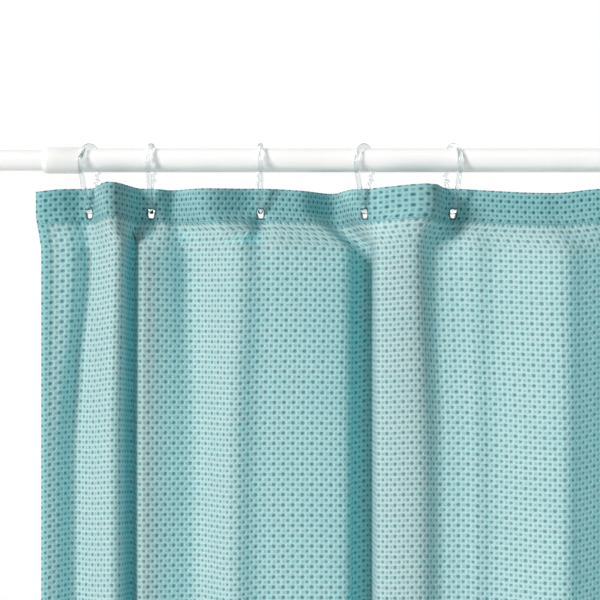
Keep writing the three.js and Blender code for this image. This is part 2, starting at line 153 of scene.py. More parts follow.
def eased(corners: list, radii: list, steps: int = 5, closed: bool = True) -> np.ndarray:
    """An outline whose corners are rounded by short curves.

    A corner b between a and c becomes (1-t)^2 p + 2t(1-t) b + t^2 q, where p and q lie the radius away on
    its two sides.

    Args:
        corners: The outline's corners in order.
        radii: How far each corner's curve reaches along its sides, 0 for a sharp one.
        steps: How many steps each curve has.
        closed: Whether the last corner joins the first.

    Returns:
        The points of the eased outline.
    """
    b = np.array(corners, float)
    a, c = np.roll(b, 1, axis=0), np.roll(b, -1, axis=0)
    reach = np.array(radii, float)
    if not closed:
        reach[[0, -1]] = 0
    toward = [(other - b) / np.linalg.norm(other - b, axis=1, keepdims=True) for other in (a, c)]
    p, q = (b + way * reach[:, None] for way in toward)
    t = np.linspace(0, 1, steps + 1)[None, :, None]
    curve = (1 - t) ** 2 * p[:, None] + 2 * t * (1 - t) * b[:, None] + t**2 * q[:, None]
    keep = np.ones(curve.shape[:2], bool)
    keep[reach == 0, 1:] = False
    return curve[keep]


def swept(path: np.ndarray, radius: np.ndarray, side: np.ndarray, sides: int) -> tuple[np.ndarray, list]:
    """A round bar along a path, closed at both ends.

    Each ring is path + radius (side cos a + up sin a), where up is the path's direction crossed with side.

    Args:
        path: The middle of the bar, one row for each station.
        radius: The bar's radius at each station.
        side: A unit vector square to the path, one row for each station.
        sides: How many steps go round.

    Returns:
        The vertices and the faces.
    """
    along = np.gradient(path, axis=0)
    along /= np.linalg.norm(along, axis=1, keepdims=True)
    up = np.cross(along, side)
    up /= np.linalg.norm(up, axis=1, keepdims=True)
    angle = np.linspace(0, 2 * np.pi, sides, endpoint=False)
    spokes = side[:, None] * np.cos(angle)[:, None] + up[:, None] * np.sin(angle)[:, None]
    rings = path[:, None] + radius[:, None, None] * spokes
    stations = len(path)
    points = np.vstack([rings.reshape(-1, 3), path[:1], path[-1:]])
    faces = grid_faces(stations, sides, wrap_columns=True)[:, ::-1]
    k = np.arange(sides)
    after, base, first = (k + 1) % sides, (stations - 1) * sides, stations * sides
    start = np.stack([np.full(sides, first), k, after], axis=-1)
    end = np.stack([np.full(sides, first + 1), base + after, base + k], axis=-1)
    return points, faces.tolist() + start.tolist() + end.tolist()


def through_points(known_x: np.ndarray, known: np.ndarray, x: np.ndarray) -> np.ndarray:
    """A smooth line through points, row by row, which never overshoots them.

    Between two points it is the cubic (2t^3-3t^2+1) a + (t^3-2t^2+t) h m + (3t^2-2t^3) b + (t^3-t^2) h n,
    where a slope m or n is the harmonic mean of the slopes on its two sides, and 0 at a crest or a valley.

    Args:
        known_x: Rising places of the points, one row for each line.
        known: The values there.
        x: The places asked for, one row for each line.

    Returns:
        The values at x.
    """
    step = np.diff(known_x, axis=1)
    slope = np.diff(known, axis=1) / step
    before, after = slope[:, :-1], slope[:, 1:]
    same_way = before * after > 0
    total = np.where(same_way, before + after, 1)
    inner = np.where(same_way, 2 * before * after / total, 0)
    tangent = np.concatenate([slope[:, :1], inner, slope[:, -1:]], axis=1)
    at = (x[:, :, None] >= known_x[:, None, 1:-1]).sum(axis=2)
    take = lambda values: np.take_along_axis(values, at, axis=1)
    h, a, b = take(step), take(known[:, :-1]), take(known[:, 1:])
    m, n = take(tangent[:, :-1]) * h, take(tangent[:, 1:]) * h
    t = (x - take(known_x[:, :-1])) / h
    leaving = (2 * t**3 - 3 * t**2 + 1) * a + (t**3 - 2 * t**2 + t) * m
    return leaving + (3 * t**2 - 2 * t**3) * b + (t**3 - t**2) * n


def eased_step(value: np.ndarray, low: float, high: float) -> np.ndarray:
    """0 up to low, 1 from high, and 3t^2 - 2t^3 between them."""
    t = np.clip((value - low) / (high - low), 0, 1)
    return t * t * (3 - 2 * t)


# ---- Shader maths


class Value:
    """A number that varies over a surface: one socket, with the arithmetic that adds its Math nodes."""

    def __init__(self, tree: "Tree", socket: bpy.types.NodeSocket) -> None:
        """Keeps the socket and the tree that it is in."""
        self.tree, self.socket = tree, socket

    def _with(self, operation: str, *others: "Value | float") -> "Value":
        """The result of a Math node on this value and others."""
        inputs = {n: item for n, item in enumerate((self, *others))}
        return self.tree.add("ShaderNodeMath", {"operation": operation}, inputs)

    def __add__(self, other: "Value | float") -> "Value":
        """This plus other."""
        return self._with("ADD", other)

    __radd__ = __add__

    def __mul__(self, other: "Value | float") -> "Value":
        """This times other."""
        return self._with("MULTIPLY", other)

    __rmul__ = __mul__

    def __sub__(self, other: "Value | float") -> "Value":
        """This less other."""
        return self._with("SUBTRACT", other)

    def __rsub__(self, other: float) -> "Value":
        """Other less this."""
        return self.tree.add("ShaderNodeMath", {"operation": "SUBTRACT"}, {0: other, 1: self})

    def __pow__(self, other: float) -> "Value":
        """This to a power."""
        return self._with("POWER", other)

    def __abs__(self) -> "Value":
        """This without its sign."""
        return self._with("ABSOLUTE")

    def cosine(self) -> "Value":
        """The cosine of this, in radians."""
        return self._with("COSINE")

    def sine(self) -> "Value":
        """The sine of this, in radians."""
        return self._with("SINE")

    def most(self, other: "Value | float") -> "Value":
        """The larger of this and other."""
        return self._with("MAXIMUM", other)

    def least(self, other: "Value | float") -> "Value":
        """The smaller of this and other."""
        return self._with("MINIMUM", other)

    def ramp(self, low: float, high: float) -> "Value":
        """0 at low and below, 1 at high and above, and smooth between them."""
        settings = {"interpolation_type": "SMOOTHSTEP"}
        inputs = {"Value": self, "From Min": low, "From Max": high}
        return self.tree.add("ShaderNodeMapRange", settings, inputs)


class Tree:
    """The nodes of one material, with the surface shader that they feed."""

    def __init__(self, name: str) -> None:
        """Starts a material that has only its output."""
        self.material = bpy.data.materials.new(name)
        self.material.use_nodes = True
        self.nodes = self.material.node_tree.nodes
        self.nodes.clear()
        self.output = self.nodes.new("ShaderNodeOutputMaterial")

    def add(self, kind: str, settings: dict, inputs: dict, output: str | int = 0) -> Value:
        """Adds a node of any type.

        Args:
            kind: The node's type.
            settings: The node's own properties, set first.
            inputs: A value, a colour or another node's socket for each input, by name or number.
            output: The name or number of the output that is wanted.

        Returns:
            The wanted output.
        """
        node = self.nodes.new(kind)
        for key, setting in settings.items():
            setattr(node, key, setting)
        for key, item in inputs.items():
            if isinstance(item, Value):
                self.material.node_tree.links.new(item.socket, node.inputs[key])
            else:
                node.inputs[key].default_value = item
        return Value(self, node.outputs[output])

    def mix(self, share: Value | float, low: Value | tuple, high: Value | tuple) -> Value:
        """A colour between low and high."""
        settings = {"data_type": "RGBA", "clamp_factor": True}
        return self.add("ShaderNodeMix", settings, {0: share, 6: low, 7: high}, 2)

    def noise(self, place: Value, scale: float, detail: float = 2.0) -> Value:
        """Soft noise from 0 to 1, with so many cells in a metre."""
        inputs = {"Vector": place, "Scale": scale, "Detail": detail}
        return self.add("ShaderNodeTexNoise", {}, inputs, "Fac")

    def place(self, kind: str = "Object") -> Value:
        """Where a point is, on the object or in its UV map."""
        return self.add("ShaderNodeTexCoord", {}, {}, kind)

    def bump(self, height: Value, distance: float, strength: float = 1.0) -> Value:
        """A normal that follows a height given as a share of distance."""
        return self.add("ShaderNodeBump", {}, {"Height": height, "Distance": distance, "Strength": strength})

    def principled(self, **sockets: Value | float | tuple) -> Value:
        """The Principled shader, with its sockets given by name and _ for a space."""
        inputs = {name.replace("_", " "): item for name, item in sockets.items()}
        return self.add("ShaderNodeBsdfPrincipled", {}, inputs)

    def finish(self, shader: Value) -> bpy.types.Material:
        """Connects the surface shader and returns the material."""
        self.material.node_tree.links.new(shader.socket, self.output.inputs["Surface"])
        return self.material


def colour(red: float, green: float, blue: float) -> tuple[float, float, float, float]:
    """A linear colour with full alpha."""
    return (red, green, blue, 1.0)


# ---- Finishes


@dataclass(frozen=True)
class PowderCoat:
    """White powder coat on steel tube: faint orange peel, and duller patches where hands have slid it."""

    tint: tuple = colour(0.86, 0.86, 0.85)
    worn: tuple = colour(0.80, 0.80, 0.79)
    peel: float = 0.00003
    peel_cells: float = 900.0
    wear_cells: float = 9.0
    wear_shows: float = 0.5
    roughness: float = 0.28
    worn_roughness: float = 0.1
    coat: float = 0.15

    def material(self) -> bpy.types.Material:
        """Builds the material."""
        tree = Tree("powder_coat")
        place = tree.place()
        wear = tree.noise(place, self.wear_cells, 3.0).ramp(0.45, 0.75)
        base = tree.mix(wear * self.wear_shows, self.tint, self.worn)
        normal = tree.bump(tree.noise(place, self.peel_cells), self.peel)
        rough = wear * self.worn_roughness + self.roughness
        shader = tree.principled(Base_Color=base, Roughness=rough, Normal=normal, Coat_Weight=self.coat)
        return tree.finish(shader)


@dataclass(frozen=True)
class MouldedPlastic:
    """Opaque moulded plastic or rubber with a fine grain and slight soiling."""

    name: str
    tint: tuple
    soiled: tuple
    roughness: float
    grain: float = 0.00004
    grain_cells: float = 1400.0
    dirt_cells: float = 30.0
    dirt_shows: float = 0.6
    dirt_roughness: float = 0.12

    def material(self) -> bpy.types.Material:
        """Builds the material."""
        tree = Tree(self.name)
        place = tree.place()
        dirt = tree.noise(place, self.dirt_cells, 4.0).ramp(0.5, 0.8)
        base = tree.mix(dirt * self.dirt_shows, self.tint, self.soiled)
        rough = dirt * self.dirt_roughness + self.roughness
        normal = tree.bump(tree.noise(place, self.grain_cells), self.grain)
        return tree.finish(tree.principled(Base_Color=base, Roughness=rough, Normal=normal))


@dataclass(frozen=True)
class SpringWire:
    """Drawn steel wire with fine dull marks."""

    tint: tuple = colour(0.62, 0.62, 0.63)
    dull: tuple = colour(0.4, 0.4, 0.41)
    mark_cells: float = 600.0
    mark_shows: float = 0.4
    mark_roughness: float = 0.2
    roughness: float = 0.22

    def material(self) -> bpy.types.Material:
        """Builds the material."""
        tree = Tree("spring_wire")
        marks = tree.noise(tree.place(), self.mark_cells, 3.0)
        base = tree.mix(marks * self.mark_shows, self.tint, self.dull)
        rough = marks * self.mark_roughness + self.roughness
        return tree.finish(tree.principled(Base_Color=base, Metallic=1.0, Roughness=rough))


@dataclass(frozen=True)
class ClearPlastic:
    """Clear moulded plastic with faint flow marks."""

    tint: tuple = colour(0.80, 0.84, 0.85)
    streak: tuple = colour(0.88, 0.92, 0.93)
    bend: float = 1.46
    roughness: float = 0.06
    flow_cells: float = 160.0
    flow_depth: float = 0.0001
    flow_shows: float = 0.3

    def material(self) -> bpy.types.Material:
        """Builds the material."""
        tree = Tree("clear_plastic")
        flow = tree.noise(tree.place(), self.flow_cells, 2.0)
        normal = tree.bump(flow, self.flow_depth)
        base = tree.mix(flow * self.flow_shows, self.tint, self.streak)
        shader = tree.principled(
            Base_Color=base, Roughness=self.roughness, Normal=normal, IOR=self.bend, Transmission_Weight=1.0
        )
        return tree.finish(shader)


@dataclass(frozen=True)
class WaffleCloth:
    """Honeycomb weave: raised pale threads round pits, with a shallower pit in the middle of each cell.

    The UV map holds metres along the cloth and metres down from its top edge. The pits' dark colour is
    painted shade.
    """

    width: float
    length: float
    top_hem: float
    bottom_hem: float
    side_hem: float
    cell_width: float = 8.6 * MM
    cell_height: float = 9.4 * MM
    pit_depth: float = 1.3 * MM
    thread: tuple = colour(0.66, 0.77, 0.75)
    ground: tuple = colour(0.33, 0.49, 0.49)
    # The pit colours are painted shade: the pits are drawn dark as if shade falls into them
    pit: tuple = colour(0.15, 0.28, 0.30)
    # The hem colours are darker: partly the doubled cloth's own deeper teal, partly painted shade for the
    # light from behind that the second layer stops
    hem_thread_shaded: tuple = colour(0.35, 0.56, 0.56)
    hem_ground_shaded: tuple = colour(0.14, 0.35, 0.37)
    hem_pit_shaded: tuple = colour(0.03, 0.15, 0.17)
    seam_thread: tuple = colour(0.04, 0.20, 0.22)
    glow: tuple = colour(0.04, 0.80, 0.86)
    see_through: float = 0.36
    roughness: float = 0.82
    sheen: float = 0.15
    hem_blur: float = 0.5 * MM
    seam_inset: float = 2.0 * MM
    seam_stitch: float = 3.2 * MM
    seam_shows: float = 0.85
    slack_cells: float = 55.0
    slack_reach: float = 0.9 * MM
    yarn_cells: float = 1500.0
    yarn_height: float = 0.12
    yarn_shows: float = 0.3
    tone_cells: float = 34.0
    tone_shows: float = 0.12
    middle_pit: float = 0.7
    relief: float = 0.8
    hem_dims: float = 0.2
    # How much less light comes through in the pits: painted shade there
    pit_painted_shade: float = 0.5

    def hem(self, across: Value, down: Value) -> Value:
        """1 where the cloth is doubled and 0 elsewhere."""
        soft = self.hem_blur
        top = 1 - down.ramp(self.top_hem - soft, self.top_hem + soft)
        bottom = down.ramp(self.length - self.bottom_hem - soft, self.length - self.bottom_hem + soft)
        left = 1 - across.ramp(self.side_hem - soft, self.side_hem + soft)
        right = across.ramp(self.width - self.side_hem - soft, self.width - self.side_hem + soft)
        return top.most(bottom).most(left.most(right))

    def seam(self, across: Value, down: Value) -> Value:
        """1 on the straight stitches that close the top and bottom hems, just inside their edges."""
        top, bottom = self.top_hem - self.seam_inset, self.length - self.bottom_hem + self.seam_inset
        off = abs(down - top).least(abs(down - bottom))
        dash = (across * (math.pi / self.seam_stitch)).sine()
        return (1 - off.ramp(0.25 * MM, 0.6 * MM)) * abs(dash).ramp(0.35, 0.6)

    def material(self) -> bpy.types.Material:
        """Builds the material from pits, raised threads and light that comes through.

        A pit is |cos p|^4 |cos q|^6, and the one in a cell's middle is |sin p|^4 |sin q|^6. The raised
        threads are a lattice, where |sin 2p| or |sin 2q| is near 1.
        """
        tree = Tree("waffle_cloth")
        uv = tree.place("UV")
        across = tree.add("ShaderNodeSeparateXYZ", {}, {0: uv}, "X")
        down = tree.add("ShaderNodeSeparateXYZ", {}, {0: uv}, "Y")
        slack = tree.noise(uv, self.slack_cells, 2.0) - 0.5
        p = (across + slack * self.slack_reach) * (math.pi / self.cell_width)
        q = (down + slack * self.slack_reach) * (math.pi / self.cell_height)
        main = abs(p.cosine()) ** 4.0 * abs(q.cosine()) ** 6.0
        middle = abs(p.sine()) ** 4.0 * abs(q.sine()) ** 6.0 * self.middle_pit
        pits = main.most(middle)
        yarn = tree.noise(uv, self.yarn_cells, 2.0)
        tone = tree.noise(uv, self.tone_cells, 3.0)
        hem = self.hem(across, down)
        # The doubled hems take darker colours: painted shade for the light from behind that two layers stop,
        # with their own deeper teal
        pale = tree.mix(hem, self.thread, self.hem_thread_shaded)
        lattice = abs(p.sine() * p.cosine()).most(abs(q.sine() * q.cosine())) * 2
        ground = tree.mix(hem, self.ground, self.hem_ground_shaded)
        thread = tree.mix(lattice.ramp(0.5, 0.95), ground, pale)
        thread = tree.mix(yarn.ramp(0.35, 0.7) * self.yarn_shows, thread, ground)
        thread = tree.mix(tone.ramp(0.35, 0.7) * self.tone_shows, thread, self.hem_thread_shaded)
        # The pits take the dark pit colour: painted shade on top of their bump
        base = tree.mix(pits.ramp(0.2, 0.8), thread, tree.mix(hem, self.pit, self.hem_pit_shaded))
        base = tree.mix(self.seam(across, down) * self.seam_shows, base, self.seam_thread)
        height = 1 - pits.ramp(0.0, 0.9) + yarn * self.yarn_height
        normal = tree.bump(height, self.pit_depth, self.relief)
        front = tree.principled(
            Base_Color=base, Roughness=self.roughness, Normal=normal, Sheen_Weight=self.sheen
        )
        through = tree.add("ShaderNodeBsdfTranslucent", {}, {"Color": self.glow, "Normal": normal})
        # Less light comes through in the pits, which is painted shade there, and less in the doubled hems
        share = (1 - hem * self.hem_dims) * (1 - pits.ramp(0.3, 0.9) * self.pit_painted_shade) * self.see_through
        shader = tree.add("ShaderNodeMixShader", {}, {0: share, 1: front, 2: through})
        return tree.finish(shader)


@dataclass(frozen=True)
class StitchThread:
    """Twisted sewing thread."""

    tint: tuple = colour(0.05, 0.24, 0.26)
    shade: tuple = colour(0.02, 0.12, 0.13)
    fibre_cells: float = 2200.0
    fibre_depth: float = 0.0001
    roughness: float = 0.7
    sheen: float = 0.3

    def material(self) -> bpy.types.Material:
        """Builds the material."""
        tree = Tree("stitch_thread")
        fibre = tree.noise(tree.place(), self.fibre_cells, 3.0)
        base = tree.mix(fibre.ramp(0.35, 0.7), self.tint, self.shade)
        normal = tree.bump(fibre, self.fibre_depth)
        shader = tree.principled(
            Base_Color=base, Roughness=self.roughness, Normal=normal, Sheen_Weight=self.sheen
        )
        return tree.finish(shader)


# ---- The rod


class Towards(Enum):
    """Which way along the rod an end piece faces, from its wall inwards."""

    LEFT = -1
    RIGHT = 1


@dataclass
class Rod:
    """The tension rod: two sliding tubes, a collar, a fixed cap and a sprung foot with their wall pads."""

    tube_wall: float = 0.8 * MM
    cap_wall: float = 2.4 * MM
    foot_wall: float = 2.0 * MM
    seat: float = 0.3 * MM
    slide: float = 0.4 * MM
    flange: float = 5.5 * MM
    lip: float = 6.0 * MM
    foot_travel: float = 12.0 * MM
    spring_wire: float = 0.8 * MM
    spring_turns: int = 6
    spring_steps: int = 40
    spring_sides: int = 12
    sides: int = 72
    tube_ease: float = 0.3 * MM
    nose_face: float = 1.0 * MM
    nose_length: float = 3.5 * MM
    nose_eases_mm: tuple = (0.2, 0.6, 2.0, 0.4, 0.2, 0.2, 0.2)
    rim: float = 3.0 * MM
    rim_fall: float = 2.0 * MM
    neck: float = 4.0 * MM
    neck_swell: float = 0.6 * MM
    skirt: float = 40.0 * MM
    end_eases_mm: tuple = (0, 0.8, 1.2, 1.5, 2.0, 0.8, 0.4, 0.3)
    stem_eases_mm: tuple = (0.3, 0.8, 0)
    groove_rings: tuple = (0.35, 0.55, 0.75)
    groove_edges: tuple = ((-0.03, 0), (-0.01, 0.5), (0.03, 0.5), (0.05, 0))
    groove_ease: float = 0.15 * MM
    pad_ease: float = 0.7 * MM

    def add(
        self, name: str, profile: np.ndarray, node: str, body: str, slot: str, finish: bpy.types.Material
    ) -> None:
        """Turns a profile into a piece that stands for a node.

        Args:
            name: The piece's name.
            profile: The outline of x and radius.
            node: The node that it stands for.
            body: The body that it rides on.
            slot: Not used.
            finish: Its material.
        """
        points, faces = turned(profile, self.sides)
        piece = new_piece(name, points, faces)
        self.dress(piece, node, body, finish)

    def dress(
        self, piece: bpy.types.Object, node: str, body: str, finish: bpy.types.Material
    ) -> None:
        """Gives a piece its material, body and the node that it stands for."""
        mend_normals(piece)
        piece.data.materials.append(finish)
        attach(piece, body)
        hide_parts(node)
        log.info("%s: %d faces on %s", piece.name, len(piece.data.polygons), body)

    def tubes(self, finish: bpy.types.Material) -> None:
        """The thick and the thin tube: a wall turned round the axis, with eased edges."""
        thick, thin = ("rod_thick_tube", "outer_tube", "rod"), ("rod_thin_tube", "inner_tube", "thin_tube")
        for name, node, body in (thick, thin):
            low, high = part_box(node)
            outer, bore = high.z, high.z - self.tube_wall
            corners = [(low.x, outer), (high.x, outer), (high.x, bore), (low.x, bore)]
            self.add(name, eased(corners, [self.tube_ease] * 4), node, body, "white_coat", finish)

    def collar(self, finish: bpy.types.Material) -> None:
        """The collar: a thin sleeve on the thick tube, closing in on the thin one over a rounded lip."""
        low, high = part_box("tube_collar")
        thick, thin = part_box("outer_tube")[1].z + self.seat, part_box("inner_tube")[1].z + self.seat
        corners = [
            (low.x, thin), (low.x, thin + self.nose_face), (low.x + self.nose_length, high.z),
            (high.x, high.z), (high.x, thick), (low.x + self.lip, thick), (low.x + self.lip, thin),
        ]
        radii = [ease * MM for ease in self.nose_eases_mm]
        self.add("rod_collar", eased(corners, radii), "tube_collar", "rod", "white_plastic", finish)

    def end(
        self, name: str, node: str, body: str, facing: Towards, tube: str, wall: float, gap: float,
        stem: float, finish: bpy.types.Material,
    ) -> None:
        """A wall end: a flange that tapers to a barrel round a tube, with a stem inside where it has one.

        Args:
            name: The piece's name.
            node: The node that it stands for.
            body: The body that it rides on.
            facing: Which way the barrel points along the rod.
            tube: The node of the tube that it holds.
            wall: The barrel's wall.
            gap: The gap round the tube.
            stem: The stem's radius, or 0 for none.
            finish: Its material.
        """
        low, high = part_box(node)
        way = facing.value
        face, tip = (low.x, high.x) if way > 0 else (high.x, low.x)
        reach = self.skirt if stem else abs(tip - face)
        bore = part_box(tube)[1].z + gap
        barrel, socket, rim = bore + wall, face + way * self.flange, high.z
        corners = [
            (face, 0), (face, rim), (face + way * self.rim, rim), (socket, rim - self.rim_fall),
            (socket + way * self.neck, barrel + self.neck_swell),
            (face + way * reach, barrel), (face + way * reach, bore), (socket, bore),
        ]
        radii = [ease * MM for ease in self.end_eases_mm]
        if stem:
            corners += [(socket, stem), (tip, stem), (tip, 0)]
            radii += [ease * MM for ease in self.stem_eases_mm]
        else:
            corners += [(socket, 0)]
            radii += [0]
        self.add(name, eased(corners, radii, closed=False), node, body, "white_plastic", finish)

    def pad(
        self, name: str, node: str, body: str, facing: Towards, finish: bpy.types.Material
    ) -> None:
        """A rubber wall pad with shallow ring grooves in the face that meets the wall."""
        low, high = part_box(node)
        wall_face, back = (low.x, high.x) if facing is Towards.RIGHT else (high.x, low.x)
        way, radius = facing.value, high.z
        corners, radii = [(wall_face, 0)], [0]
        for ring in self.groove_rings:
            for share, depth_mm in self.groove_edges:
                corners.append((wall_face + way * depth_mm * MM, radius * (ring + share)))
                radii.append(self.groove_ease)
        corners += [(wall_face, radius), (back, radius), (back, 0)]
        radii += [self.pad_ease, self.pad_ease, 0]
        self.add(name, eased(corners, radii, closed=False), node, body, "grey_rubber", finish)

    def spring(self, finish: bpy.types.Material) -> None:
        """The foot's spring: a helix, x rising evenly as the wire goes round, which shortens when pushed."""
        low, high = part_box("foot_spring")
        steps = self.spring_turns * self.spring_steps + 1
        turn = np.linspace(0, 2 * np.pi * self.spring_turns, steps)
        radius = high.z - self.spring_wire
        x = np.linspace(low.x + self.spring_wire, high.x - self.spring_wire, turn.size)
        path = np.stack([x, radius * np.cos(turn), radius * np.sin(turn)], axis=-1)
        side = np.stack([np.zeros_like(turn), np.cos(turn), np.sin(turn)], axis=-1)
        points, faces = swept(path, np.full(turn.size, self.spring_wire), side, self.spring_sides)
        piece = new_piece("rod_foot_spring", points, faces)
        self.dress(piece, "foot_spring", "thin_tube", finish)
        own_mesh(piece)

    def build(self) -> None:
        """Makes every piece of the rod, and dresses the lock that stays as it is."""
        coat = PowderCoat().material()
        white, yellowed = colour(0.84, 0.84, 0.82), colour(0.74, 0.74, 0.71)
        plastic = MouldedPlastic("white_plastic", white, yellowed, 0.36).material()
        grey, dusty = colour(0.50, 0.50, 0.49), colour(0.40, 0.40, 0.39)
        rubber = MouldedPlastic("grey_rubber", grey, dusty, 0.75, grain=0.0001, grain_cells=900.0)
        black, greyed = colour(0.02, 0.02, 0.021), colour(0.05, 0.05, 0.048)
        nylon = MouldedPlastic("black_nylon", black, greyed, 0.5).material()
        pad_finish = rubber.material()
        self.tubes(coat)
        self.collar(plastic)
        self.end(
            "rod_end_cap", "fixed_end_cap", "rod", Towards.LEFT, "outer_tube",
            wall=self.cap_wall, gap=self.seat, stem=0, finish=plastic,
        )
        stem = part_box("inner_tube")[1].z - self.tube_wall - self.slide
        self.end(
            "rod_foot", "sprung_foot", "foot", Towards.RIGHT, "inner_tube",
            wall=self.foot_wall, gap=self.slide, stem=stem, finish=plastic,
        )
        self.pad("rod_end_pad", "fixed_end_pad", "rod", Towards.LEFT, pad_finish)
        self.pad("rod_foot_pad", "sprung_foot_pad", "foot", Towards.RIGHT, pad_finish)
        self.spring(SpringWire().material())
        for node in ("spring_plug", "lock_cam", "lock_sleeve"):
            dress_node(node, nylon)


def mend_normals(piece: bpy.types.Object) -> None:
    """Turns a closed mesh's faces outwards."""
    work = bmesh.new()
    work.from_mesh(piece.data)
    bmesh.ops.recalc_face_normals(work, faces=work.faces)
    work.to_mesh(piece.data)
    work.free()


def dress_node(node: str, finish: bpy.types.Material) -> None:
    """Gives a node that stays as it is a better material."""
    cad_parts[node].material_slots[0].material = finish
    log.info("%s keeps its shape in %s", node, finish.name)


# ---- The hooks


@dataclass
class Hooks:
    """Twelve clear pear-shaped hooks: a wide arc over the rod, two legs and a narrow arc at the tip."""

    wire: float = 2.3 * MM
    wide_arc: float = 17.3 * MM
    wide_arc_z: float = -3.7 * MM
    narrow_arc: float = 5.5 * MM
    narrow_arc_z: float = -42.3 * MM
    snap_drop: float = 15.8 * MM
    snap_gap: float = 1.0 * MM
    knob: float = 3.0 * MM
    knob_from_end: float = 3.2 * MM
    knob_spread: float = 1.9 * MM
    socket_share: float = 0.7
    socket_from_end: float = 2.5 * MM
    socket_spread: float = 2.4 * MM
    wide_steps: int = 60
    narrow_steps: int = 30
    stations: int = 260
    sides: int = 20
    turns_deg: tuple = (24, 4, -3, 28, -19, 12, -14, 20, -8, 16, -22, 10)
    pieces: list = field(default_factory=list)

    def centre_x(self, number: int) -> float:
        """Where a hook hangs along the rod."""
        low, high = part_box(f"hook_{HOOK_NUMBERS[number]}")
        return (low.x + high.x) / 2

    def outline(self) -> np.ndarray:
        """The middle of the wire in the hook's own Y-Z plane.

        It runs from the snap's upper end up the back leg, over the rod, down the front leg, round the tip and
        up again. A point on an arc is (r cos a, z + r sin a), and the legs are the arcs' outer tangents.

        Returns:
            Evenly spaced points, one row of y and z for each.
        """
        lean = math.asin((self.wide_arc - self.narrow_arc) / (self.wide_arc_z - self.narrow_arc_z))
        top_angle = np.linspace(-lean, np.pi + lean, self.wide_steps)
        tip_angle = np.linspace(np.pi + lean, 2 * np.pi - lean, self.narrow_steps)
        arc = lambda r, z, a: np.stack([r * np.cos(a), z + r * np.sin(a)], axis=-1)
        top = arc(self.wide_arc, self.wide_arc_z, top_angle)
        tip = arc(self.narrow_arc, self.narrow_arc_z, tip_angle)
        leg = lambda z: tip[-1] + (z - tip[-1, 1]) / (top[0, 1] - tip[-1, 1]) * (top[0] - tip[-1])
        ends = [leg(-self.snap_drop + self.snap_gap / 2), leg(-self.snap_drop - self.snap_gap / 2)]
        line = np.vstack([ends[:1], top, tip, ends[1:]])
        run = np.concatenate([[0], np.cumsum(np.linalg.norm(np.diff(line, axis=0), axis=1))])
        even = np.linspace(0, run[-1], self.stations)
        return np.stack([np.interp(even, run, line[:, k]) for k in (0, 1)], axis=-1)

    def thickness(self, outline: np.ndarray) -> np.ndarray:
        """The wire's radius along the outline.

        It rounds off at both ends as a circle's edge does. Near each end it swells by exp(-(d / spread)^2),
        where d is the way to the swelling's middle: the snap's knob below the gap and its socket above.

        Args:
            outline: The middle of the wire.

        Returns:
            The radius at each point.
        """
        step = np.linalg.norm(np.diff(outline, axis=0), axis=1)
        run = np.concatenate([[0], np.cumsum(step)])
        from_end = np.minimum(run, run[-1] - run)
        rounding = np.sqrt(np.clip(1 - (1 - np.clip(from_end / self.wire, 0, 1)) ** 2, 0, 1))
        swell = self.knob - self.wire
        to_knob, to_socket = run[-1] - run - self.knob_from_end, run - self.socket_from_end
        knob = np.exp(-((to_knob / self.knob_spread) ** 2)) * swell
        socket = np.exp(-((to_socket / self.socket_spread) ** 2)) * swell * self.socket_share
        return (self.wire + knob + socket) * rounding.clip(0.05, 1)

    def build(self) -> None:
        """Sweeps the wire for each hook, turned as it hangs."""
        finish = ClearPlastic().material()
        outline = self.outline()
        radius = self.thickness(outline)
        for number, label in enumerate(HOOK_NUMBERS):
            turn = math.radians(self.turns_deg[number])
            y, z = outline[:, 0], outline[:, 1]
            path = np.stack([self.centre_x(number) + y * math.sin(turn), y * math.cos(turn), z], axis=-1)
            side = np.tile([math.cos(turn), -math.sin(turn), 0.0], (len(path), 1))
            points, faces = swept(path, radius, side, self.sides)
            piece = new_piece(f"clear_hook_{label}", points, faces)
            mend_normals(piece)
            piece.data.materials.append(finish)
            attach(piece, body_of_hook(number))
            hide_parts(f"hook_{label}")
            self.pieces.append(piece)
            log.info("%s: %d faces", piece.name, len(piece.data.polygons))


def body_of_hook(number: int) -> str:
    """The body that a hook and what hangs on it ride on."""
    return "curtain_end" if number == len(HOOK_NUMBERS) - 1 else f"hook_{HOOK_NUMBERS[number]}_set"


# ---- The curtain


@dataclass(frozen=True)
class Ripple:
    """One crest or valley of the cloth after a hook.

    A place is a share of the way to the next hook, or millimetres from the first or last hook in the
    cloth's margins. A depth is in millimetres, negative towards the front. Both are given at the
    buttonholes, just under the hem and lower down, and the droop is how many millimetres the weave hangs
    lower there.
    """

    place: tuple[float, float, float]
    depth: tuple[float, float, float]
    droop: float = 0.0


